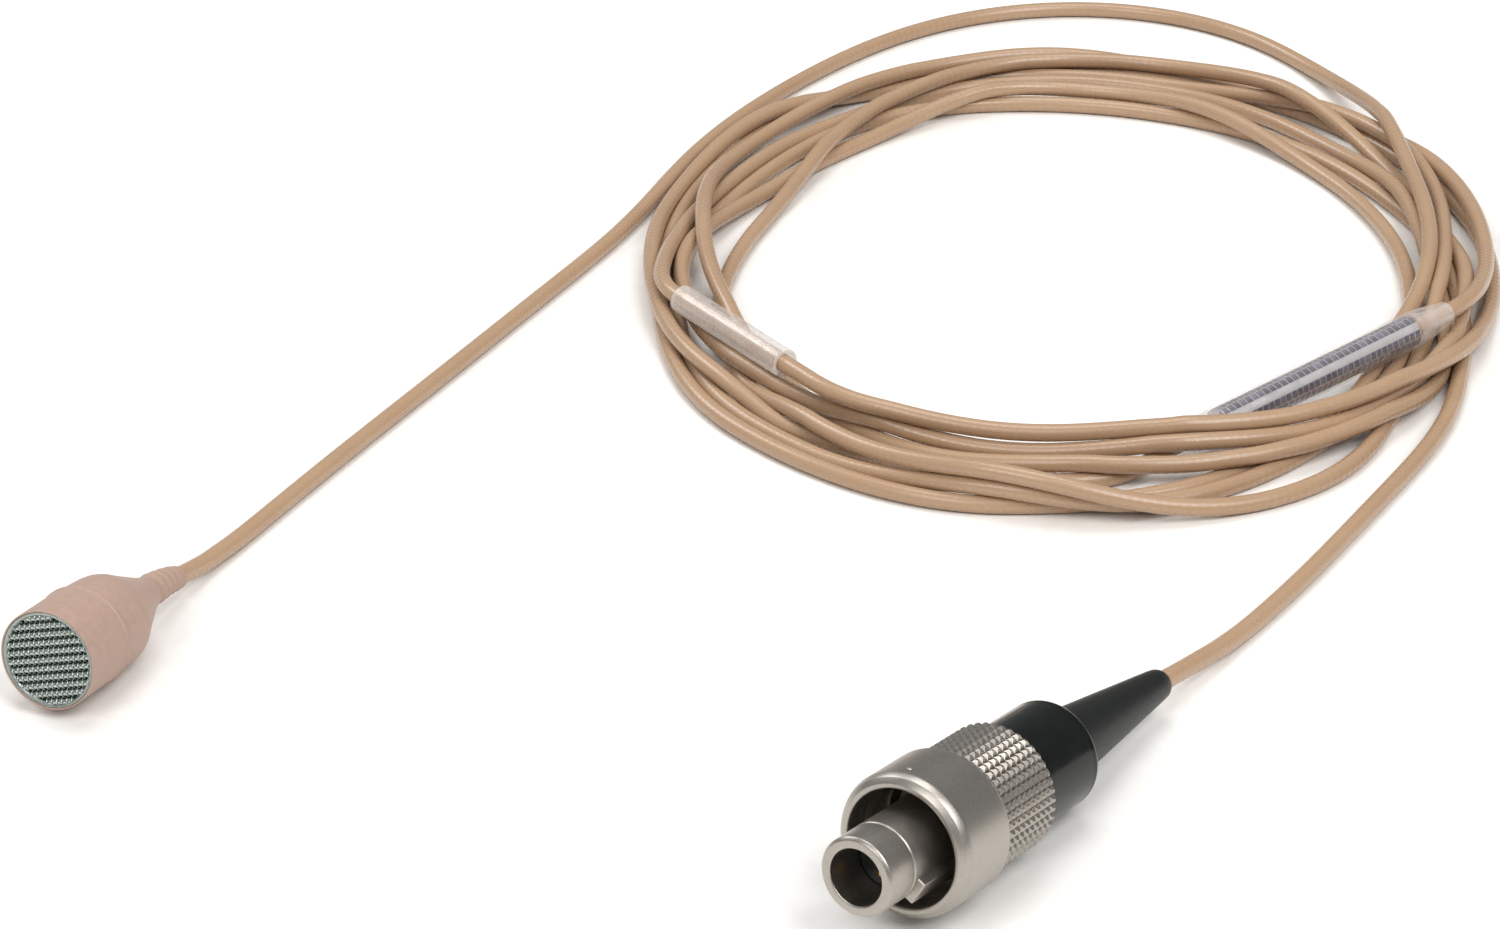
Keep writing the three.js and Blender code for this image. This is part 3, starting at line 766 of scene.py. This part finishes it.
# %% Grille and its rim
wire_steel = grained("drawn_stainless_wire", "98a29c", "d6dcd7", 0.12, (0.2, 0.36), 0.006, Metallic=1.0)
rim_steel = grained("pressed_stainless_rim", "8c9490", "aab2ad", 0.3, (0.3, 0.42), 0.003, Metallic=1.0)
RIB_SLOPE = math.radians(15.4)  # the ribs run a little up to one side, as the disc was dropped in
face_place = head_axis @ Matrix.Rotation(-RIB_SLOPE, 4, "Y") @ Matrix.Translation((0.06, 0.3, -0.04))
face_place = face_place @ Matrix.Rotation(math.radians(90), 4, "X")
to_metres = Matrix.Scale(MM, 4)
grille = grown(
    "grille_cloth",
    weave,
    {
        "Disc Radius": 3.2,
        "Rib Spacing": 0.6,
        "Rib Radius": 0.215,
        "Wire Spacing": 0.2,
        "Wire Radius": 0.05,
        "Finish": wire_steel,
    },
    to_metres @ face_place,
)
grille.data.shade_smooth()
grille_rim = turned(
    "grille_band",
    head_axis,
    [(3.1, 0.2), (3.2, 0.08), (3.38, 0.04), (3.41, 0.1), (3.41, 1.2), (3.22, 1.2), (3.22, 0.5), (3.1, 0.5)],
    rim_steel,
    ease=0.03,
)

# %% [markdown]
# ## Clear vinyl
# Clear tubing is seen by its gloss and by its edges, where sight runs along the wall through much
# more plastic. Real refraction gives both, but it lets hardly any light in to the cable inside,
# which goes grey. A see-through surface that closes towards its edges, by a layer weight, keeps
# the cable bright. Its clear coat is a strong one, because the see-through share dims it too.

# %% Milky extruded vinyl, clear shrunk film and knife-cut ends
def see_through(name, middle, edges):
    """A clear plastic that covers that share of what is behind it, in its middle and at its edges."""
    gloss = {"Coat Weight": 1.0, "Coat Roughness": 0.15, "Coat IOR": 2.4, "Roughness": 0.3}
    material, tree, surface = start_material(name, gloss)
    place = add(tree, "ShaderNodeTexCoord")
    size = {"Vector": place.outputs["Object"], "Scale": 1 / (0.9 * MM), "Detail": 2.0}
    haze = add(tree, "ShaderNodeTexNoise", size)
    edge = add(tree, "ShaderNodeLayerWeight", {"Blend": 0.5})
    # It closes from a fifth of the way to the edge on, and patches of haze vary that by a fifth.
    wall = add(tree, "ShaderNodeMapRange", {0: edge.outputs["Facing"], 1: 0.2, 2: 0.95, 3: middle, 4: edges})
    milky = add(tree, "ShaderNodeMapRange", {0: haze, 1: 0.3, 2: 0.7, 3: 0.8, 4: 1.2})
    share = add(tree, MATHS, {0: wall, 1: milky}, operation="MULTIPLY")
    tint = add(
        tree,
        "ShaderNodeMix",
        {0: haze, 6: colour("ece0da"), 7: colour("f8f1ec")},
        data_type="RGBA",
    )
    wire(tree, surface, {"Base Color": tint.outputs[2], "Alpha": share})
    return material


# Thick tube wall: bright gloss lines over the cable, and pale edges.
clear_vinyl = see_through("extruded_clear_vinyl", 0.15, 0.5)
# Thin film drawn tight over the label: hardly there but for its gloss.
shrunk_film = see_through("shrunk_clear_film", 0.05, 0.3)
# Faces cut by a knife: frosted, and nearly white.
cut_vinyl = grained("knife_cut_vinyl", "cfc6bc", "e6dfd6", 0.12, (0.4, 0.55), 0.01, Alpha=0.8)

# %% [markdown]
# ## The keeper sleeve
# The keeper is a cut length of thick clear tubing that slides on the cable. It was split along its
# length to be put on, so its end is an almost closed C. Its cut faces are frosted by the knife.

# %% Keeper: clear tube with a slit along it
BORE_RADIUS = 0.78
keeper_length = np.linalg.norm(keeper_to - keeper_from)
sleeve_axis = lathe_axis(Vector(keeper_from) * MM, Vector(keeper_from - keeper_to))
keeper = turned(
    "keeper_tube",
    sleeve_axis,
    [(BORE_RADIUS, 0), (KEEPER_RADIUS, 0), (KEEPER_RADIUS, keeper_length), (BORE_RADIUS, keeper_length)],
    clear_vinyl,
    ease=0.07,
    sides=64,
    slit=(math.radians(-60), math.radians(16)),
)
keeper.data.materials.append(cut_vinyl)
keeper_way = Vector(keeper_axis)
for polygon in keeper.data.polygons:
    if abs(polygon.normal.dot(keeper_way)) > 0.9 or len(polygon.vertices) > 4:
        polygon.material_index = 1
print("keeper:", round(keeper_length, 1), "mm long")

# %% [markdown]
# ## The label
# An identity label is printed silver film wrapped round the cable under a clear shrunk cover. The
# print is dark blue rows of short marks. They are blank dashes here: a brick pattern in dark and
# lighter ink, with bare film between the bricks, is spaced like words without being any. Ink is no
# metal, so the same pattern takes the metal's mirror away where there is ink.
# A bright near-white strip along the label, where the highlight runs, is left without print: a painted highlight.

# %% Label: printed silver film
# The middle of the bright bare strip, a painted highlight laid where the lights' streak runs along the label.
PAINTED_HIGHLIGHT_STRIPE = 0.95  # mm round from the side of the label: the middle of a strip without print
film, tree, surface = start_material("printed_silver_film", {})
where = add(tree, "ShaderNodeUVMap", uv_map="wrap")
marks = add(
    tree,
    "ShaderNodeTexBrick",
    {
        "Vector": where,
        "Color1": colour("16193a"),
        "Color2": colour("6f6d88"),
        "Mortar": colour("cbc7d1"),
        "Scale": 1.0,
        "Mortar Size": 0.05,
        "Mortar Smooth": 0.2,
        "Bias": -0.5,
        "Brick Width": 0.62,
        "Row Height": 0.98,
    },
    offset=0.37,
)
spot = add(tree, "ShaderNodeTexCoord")
folds = {"Vector": spot.outputs["Object"], "Scale": 1 / (1.2 * MM), "Detail": 3.0}
crinkle = add(tree, "ShaderNodeTexNoise", folds)
shine = add(tree, "ShaderNodeMapRange", {0: crinkle, 3: 0.2, 4: 0.42})
relief = add(tree, "ShaderNodeBump", {"Height": crinkle, "Distance": 0.03 * MM})
sides = add(tree, "ShaderNodeSeparateXYZ", {0: where})
off_middle = add(tree, MATHS, {0: sides.outputs[1], 1: PAINTED_HIGHLIGHT_STRIPE}, operation="SUBTRACT")
either_way = add(tree, MATHS, {0: off_middle}, operation="ABSOLUTE")
printed = add(tree, "ShaderNodeMapRange", {0: either_way, 1: 0.28, 2: 0.36})
# Between the printed rows the film is painted near-white: this strip is a painted highlight.
wrapped = add(
    tree,
    "ShaderNodeMix",
    {0: printed, 6: colour("f2eef0"), 7: marks.outputs["Color"]},
    data_type="RGBA",
)
inked = add(tree, MATHS, {0: 1.0, 1: marks.outputs["Fac"]}, operation="SUBTRACT")
ink = add(tree, MATHS, {0: printed, 1: inked}, operation="MULTIPLY")
metal = add(tree, "ShaderNodeMapRange", {0: ink, 3: 0.9, 4: 0.1})
looks = {"Base Color": wrapped.outputs[2], "Metallic": metal}
wire(tree, surface, {**looks, "Roughness": shine, "Normal": relief})

label_length = np.linalg.norm(label_to - label_from)
label_axis = lathe_axis(Vector(label_from) * MM, Vector(label_from - label_to))
FOIL_RADIUS = 1.25
FOIL_INSET = 4.2  # mm that the clear cover reaches past the film at each end
foil = turned(
    "label_film",
    label_axis,
    [
        (0.72, FOIL_INSET), (FOIL_RADIUS, FOIL_INSET),
        *[(FOIL_RADIUS, FOIL_INSET + k) for k in range(1, int(label_length - 2 * FOIL_INSET))],
        (FOIL_RADIUS, label_length - FOIL_INSET), (0.72, label_length - FOIL_INSET),
    ],
    film,
    ease=0.05,
    sides=48,
)
wrap = foil.data.uv_layers.new(name="wrap")
to_local = label_axis.inverted()
for polygon in foil.data.polygons:
    turns_at = []
    for loop in polygon.loop_indices:
        local = to_local @ (foil.data.vertices[foil.data.loops[loop].vertex_index].co / MM)
        turns_at.append((math.atan2(local.z, local.x), local.y))
    lowest = min(angle for angle, _ in turns_at)
    for loop, (angle, along) in zip(polygon.loop_indices, turns_at):
        if lowest < -2 and angle > 2:
            angle -= 2 * math.pi
        wrap.data[loop].uv = (along, angle * FOIL_RADIUS)
cover = turned(
    "label_cover_clear",
    label_axis,
    [
        (0.71, 0.1), (0.8, 0), (0.95, 0.05), (1.2, 1.6), (1.38, 3), (LABEL_RADIUS, FOIL_INSET),
        (LABEL_RADIUS, label_length - FOIL_INSET),
        (1.38, label_length - 3), (1.2, label_length - 1.6), (0.95, label_length - 0.05), (0.8, label_length),
        (0.71, label_length - 0.1), (0.71, label_length - 1.2), (1.02, label_length - 2.8),
        (1.28, label_length - 4.0), (1.28, 4.0), (1.02, 2.8), (0.71, 1.2),
    ],
    shrunk_film,
    ease=0.1,
    sides=48,
)
cover.data.materials.append(clear_vinyl)  # where it has shrunk onto the cable it is thicker
for polygon in cover.data.polygons:
    along = (to_local @ (polygon.center / MM)).y
    if not FOIL_INSET < along < label_length - FOIL_INSET:
        polygon.material_index = 1
print("label:", round(label_length, 1), "mm long")

# %% [markdown]
# ## The plug's front
# The plug is turned brass with satin nickel plating. Its tube has a bright eased rim and a
# dark bore with the contacts at the bottom, and a key beside it that fits the socket's slot. Satin
# nickel is a warm grey metal. Its fine blasted grain spreads the highlight without hiding it.

# %% Plug tube and key
satin_nickel = grained("satin_nickel_plate", "a29c94", "b8b2aa", 0.08, (0.3, 0.42), 0.004, Metallic=1.0)
plug_tube = turned(
    "plug_tube",
    plug_axis,
    [
        (1.87, 0.05), (1.97, 0), (2.42, 0), (2.6, 0.2), (2.6, 2.5), (2.54, 2.56), (2.54, 2.66), (2.6, 2.72),
        (2.6, 9), (3.2, 9.4), (3.2, 11.85), (3, 11.85), (3, 12.35), (3.2, 12.35), (3.2, 17.3), (2, 17.3),
        (2, 9), (1.87, 8.8),
    ],
    satin_nickel,
)


def small_piece(name, work, material):
    """A piece from a bmesh, smooth and in one finish."""
    data = bpy.data.meshes.new(name)
    work.to_mesh(data)
    work.free()
    data.shade_smooth()
    data.materials.append(material)
    return put(name, data)


KEY_TURN = math.radians(118)
KEY_MIDDLE = (0, 5.7, 2.6)
KEY_SIZE = (1.8, 5.4, 0.9, 1)
key_matrix = plug_axis @ Matrix.Rotation(KEY_TURN, 4, "Y") @ Matrix.Translation(KEY_MIDDLE)
key_mesh = bmesh.new()
bmesh.ops.create_cube(key_mesh, size=1, matrix=to_metres @ key_matrix @ Matrix.Diagonal(KEY_SIZE))
bmesh.ops.recalc_face_normals(key_mesh, faces=key_mesh.faces)
plug_key = small_piece("plug_key", key_mesh, satin_nickel)
soft_edge = plug_key.modifiers.new("soft_edge", "BEVEL")
soft_edge.width = 0.12 * MM
soft_edge.segments = 3
soft_edge.harden_normals = True

# %% [markdown]
# ## The knurled nut
# Fingers turn the nut by a diamond-knurled grip: rows of small pyramids pressed in by a wheel. A
# bump map would leave its outline smooth. In Geometry Nodes a grid of points is rolled into a
# cylinder, and each point gets one four-sided cone that stands square to the surface. Rows and
# columns follow from the real pitch.

# %% Geometry Nodes: knurled grip
knurl, given = growth(
    "knurled_grip",
    {
        "Nut": "Geometry",
        "Grip Radius": "Float",
        "Grip Start": "Float",
        "Pitch": "Float",
        "Columns": "Int",
        "Rows": "Int",
        "Height": "Float",
        "Finish": "Material",
    },
)
total = add(knurl, MATHS, {0: given["Columns"], 1: given["Rows"]}, operation="MULTIPLY")
studs = add(knurl, "GeometryNodePoints", {"Count": total})
number = add(knurl, "GeometryNodeInputIndex")
per_column = add(knurl, MATHS, {0: number, 1: given["Rows"]}, operation="DIVIDE")
column = add(knurl, MATHS, {0: per_column}, operation="FLOOR")
row = add(knurl, MATHS, {0: number, 1: given["Rows"]}, operation="MODULO")
share = add(knurl, MATHS, {0: column, 1: given["Columns"]}, operation="DIVIDE")
turn = add(knurl, MATHS, {0: share, 1: 2 * math.pi}, operation="MULTIPLY")
cosine = add(knurl, MATHS, {0: turn}, operation="COSINE")
sine = add(knurl, MATHS, {0: turn}, operation="SINE")
outward = add(knurl, "ShaderNodeCombineXYZ", {"X": cosine, "Z": sine})
size = {0: outward, "Scale": given["Grip Radius"]}
ring = add(knurl, "ShaderNodeVectorMath", size, operation="SCALE")
middle = add(knurl, MATHS, {0: row, 1: 0.5}, operation="ADD")
along = add(
    knurl,
    MATHS,
    {0: middle, 1: given["Pitch"], 2: given["Grip Start"]},
    operation="MULTIPLY_ADD",
)
back = add(knurl, "ShaderNodeCombineXYZ", {"Y": along})
stand = add(knurl, "ShaderNodeVectorMath", {0: ring, 1: back}, operation="ADD")
rolled = add(knurl, "GeometryNodeSetPosition", {"Geometry": studs, "Position": stand})
# A stud is a little wider than the pitch, so that neighbours meet, and its tip is worn flat.
half = add(knurl, MATHS, {0: given["Pitch"], 1: 0.68}, operation="MULTIPLY")
tip = add(knurl, MATHS, {0: given["Pitch"], 1: 0.2}, operation="MULTIPLY")
stud = add(
    knurl,
    "GeometryNodeMeshCone",
    {
        "Vertices": 4,
        "Side Segments": 1,
        "Radius Top": tip,
        "Radius Bottom": half,
        "Depth": given["Height"],
    },
)
eighth = (0, 0, math.pi / 4)
square_on = add(knurl, "GeometryNodeTransform", {"Geometry": stud, "Rotation": eighth})
facing = add(
    knurl,
    "FunctionNodeAxesToRotation",
    {"Primary Axis": outward, "Secondary Axis": (0, 1, 0)},
    primary_axis="Z",
    secondary_axis="Y",
)
placed = add(
    knurl,
    "GeometryNodeInstanceOnPoints",
    {"Points": rolled, "Instance": square_on, "Rotation": facing},
)
flat = add(knurl, "GeometryNodeSetShadeSmooth", {"Geometry": placed, "Shade Smooth": False})
whole_nut = add(knurl, "GeometryNodeJoinGeometry")
knurl.links.new(flat.outputs[0], whole_nut.inputs[0])
knurl.links.new(given["Nut"], whole_nut.inputs[0])
ripen(knurl, whole_nut.outputs[0], given["Finish"])

# %% [markdown]
# ## The nut's body
# The nut is turned from the same brass as the plug: a wide smooth front that holds the thread, a
# groove, and a narrower rear for the grip. The thread is cut as rings, which from the mouth look the
# same as a helix and keep the nut a figure of revolution. A small raised dot shows how it is turned.

# %% Coupling nut with its thread, grip and index dot
GRIP_RADIUS, GRIP_FROM, NUT_BACK = 4.08, 10.3, 16.2
ROWS = 10
COLUMNS = 44
THREADS, THREAD_PITCH = 7, 0.5
thread = []
for k in range(THREADS):
    thread += [(3.85, 9.6 - k * THREAD_PITCH), (3.68, 9.35 - k * THREAD_PITCH)]
nut_profile = [
    (3.95, 4.95), (4.05, 4.9), (4.28, 4.9), (4.62, 5.22), (4.78, 5.6), (4.8, 5.75), (4.8, 9.9), (4.6, 10.2),
    (4.1, 10.2), (GRIP_RADIUS, 10.35), (GRIP_RADIUS, 16.1), (3.95, 16.3), (3.3, 16.3), (3.3, 12.5),
    (3.85, 12.5), *thread, (3.85, 5.9), (3.85, 5.3),
]
bare_nut = turned("bare_nut", Matrix.Identity(4), nut_profile, satin_nickel, ease=0.05)
bare_nut.data.transform(Matrix.Scale(1 / MM, 4))
bare_mesh = bare_nut.data
bpy.data.objects.remove(bare_nut)
nut = grown(
    "nut_knurled",
    knurl,
    {
        "Grip Radius": GRIP_RADIUS + 0.02,
        "Grip Start": GRIP_FROM,
        "Pitch": (NUT_BACK - GRIP_FROM) / ROWS,
        "Columns": COLUMNS,
        "Rows": ROWS,
        "Height": 0.26,
        "Finish": satin_nickel,
    },
    to_metres @ plug_axis,
    bare_mesh,
)
nut.modifiers.new("flat_flats", "WEIGHTED_NORMAL").keep_sharp = True
DOT_TURN = math.radians(-8)
DOT_MIDDLE = (0, 6.35, 4.78)
DOT_FLATNESS = (1, 1, 0.45, 1)
dot_place = plug_axis @ Matrix.Rotation(DOT_TURN, 4, "Y") @ Matrix.Translation(DOT_MIDDLE)
dot_place = to_metres @ dot_place @ Matrix.Diagonal(DOT_FLATNESS)
dot_mesh = bmesh.new()
bmesh.ops.create_uvsphere(dot_mesh, u_segments=20, v_segments=12, radius=0.2, matrix=dot_place)
index_dot = small_piece("index_dot", dot_mesh, satin_nickel)
print("grip:", ROWS, "rows of", COLUMNS, "studs")

# %% [markdown]
# ## Barrel and bend relief
# Behind the nut the plug is black: a glossy moulded barrel with a rounded shoulder, and a soft
# cone that keeps the cable from kinking. Two blacks side by side only look different through
# their gloss, so the barrel is polished and the cone is satin.

# %% Black barrel and soft cone
# Polished moulding: deep black with a sharp reflection and a few dull patches from handling.
DULL = {"Specular_IOR_Level": 0.3}
barrel_black = grained("polished_black_moulding", "090b0a", "101211", 1.2, (0.14, 0.24), 0.002, **DULL)
# Thermoplastic rubber: the same black, but its fine grain spreads the highlight.
cone_black = grained("black_soft_rubber", "0f1210", "181b18", 0.25, (0.36, 0.48), 0.006, **DULL)
barrel = turned(
    "barrel",
    plug_axis,
    [
        (3.28, 16.45), (3.58, 16.45), (3.66, 16.6), (3.68, 16.9), (3.68, 21.7), (3.66, 22.05), (3.68, 22.15),
        (3.66, 22.3), (3.52, 22.55), (3.3, 22.78), (3.05, 22.9), (2.55, 22.9), (2.55, 22.2), (3.28, 22.2),
    ],
    barrel_black,
    ease=0.08,
)
cone = turned(
    "relief_cone",
    plug_axis,
    [
        (0.76, 21.2), (3.15, 21.2), (3.15, 22.1), (2.45, 22.1), (2.44, 23.2), (2.34, 24.2), (1.15, 35.6),
        (1.07, 36.2), (0.95, 36.5), (0.76, 36.55),
    ],
    cone_black,
    ease=0.12,
)
print("black pieces:", barrel.name, cone.name)

# %% [markdown]
# ## What lies inside
# The CAD nodes inside the head and the plug are right as they are and only need finishes. Each
# name below is the real material and how it was worked, with a grain of its own size.

# %% Finishes for the CAD nodes that stay
METAL = {"Metallic": 1.0}
INNER = (
    ("pressed_grey_felt", "2b2e2d", "4a4d4b", 0.08, (0.9, 1.0), 0.03, {}, "acoustic_felt"),
    ("drawn_aluminium_can", "a9acae", "c9ccce", 0.15, (0.3, 0.45), 0.002, METAL, "capsule_can"),
    ("turned_brass", "a8873f", "cfae63", 0.12, (0.25, 0.4), 0.002, METAL,
     "diaphragm_ring", "backplate", "cable_crimp", "cable_collet"),
    ("metallised_polyester", "c9b57e", "ddcb96", 0.4, (0.12, 0.22), 0.001, {"Metallic": 0.6}, "diaphragm"),
    ("moulded_insulator", "a08b65", "bda780", 0.3, (0.4, 0.55), 0.004, {},
     "diaphragm_spacer", "plate_holder"),
    ("moulded_dark_insert", "141816", "1f2421", 0.3, (0.4, 0.55), 0.004, {}, "contact_insert"),
    ("green_glass_epoxy", "255c3b", "37754f", 0.2, (0.35, 0.5), 0.003, {}, "amplifier_board"),
    ("black_chip_epoxy", "121212", "1e1e1e", 0.1, (0.5, 0.65), 0.003, {}, "transistor"),
    ("nitrile_rubber_ring", "141514", "212321", 0.15, (0.5, 0.65), 0.004, {}, "capsule_seal"),
    ("white_wire_insulation", "dcd7cc", "ece8df", 0.2, (0.4, 0.5), 0.002, {},
     "signal_wire", "conductor_2", "conductor_3"),
    ("bare_copper_wire", "a3633a", "c68455", 0.1, (0.25, 0.4), 0.002, METAL, "ground_wire", "conductor_1"),
    ("spring_steel_ring", "8d918e", "acb0ac", 0.1, (0.3, 0.42), 0.002, METAL, "retaining_ring"),
    ("gold_plated_pin", "c39a45", "e0bb69", 0.1, (0.15, 0.28), 0.001, METAL,
     "contact_pin_1", "contact_pin_2", "contact_pin_3"),
)
for name, dark, light, grain, gloss, relief, shader, *wearers in INNER:
    finish = grained(name, dark, light, grain, gloss, relief, **shader)
    for wearer in wearers:
        node = frame["nodes"][wearer]
        node.data.materials.clear()
        node.data.materials.append(finish)
print("inner finishes:", len(INNER))

# %% [markdown]
# ## What moves with what
# The nut and its dot turn together, the keeper slides, and everything else lies with the
# microphone. Each finer piece then stands for its CAD node, which is hidden. The table also names
# a finish slot for each piece, which this cell does not use.

# %% Bodies, replaced nodes and slots
for piece, body, nodes, slot in (
    (front_sleeve, "microphone", ["front_sleeve"], "beige_housing"),
    (rear_body, "microphone", ["rear_body"], "beige_housing"),
    (boot, "microphone", ["strain_relief"], "beige_boot"),
    (grille, "microphone", ["grille_mesh"], "grille_steel"),
    (grille_rim, "microphone", ["grille_rim"], "grille_steel"),
    (plug_tube, "microphone", ["plug_shell"], "satin_nickel"),
    (plug_key, "microphone", [], "satin_nickel"),
    (barrel, "microphone", ["plug_barrel"], "black_barrel"),
    (cone, "microphone", ["bend_relief"], "black_rubber"),
    (foil, "microphone", ["label_foil"], "label_foil"),
    (cover, "microphone", ["label_cover"], "clear_sleeve"),
    (cable, "microphone", ["cable_head_side", "cable_coil", "cable_plug_side"], "cable_jacket"),
    (nut, "coupling_nut", ["coupling_nut"], "satin_nickel"),
    (index_dot, "coupling_nut", [], "satin_nickel"),
    (keeper, "keeper", ["keeper_sleeve"], "clear_sleeve"),
):
    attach(piece, body)
    if nodes:
        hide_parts(*nodes)
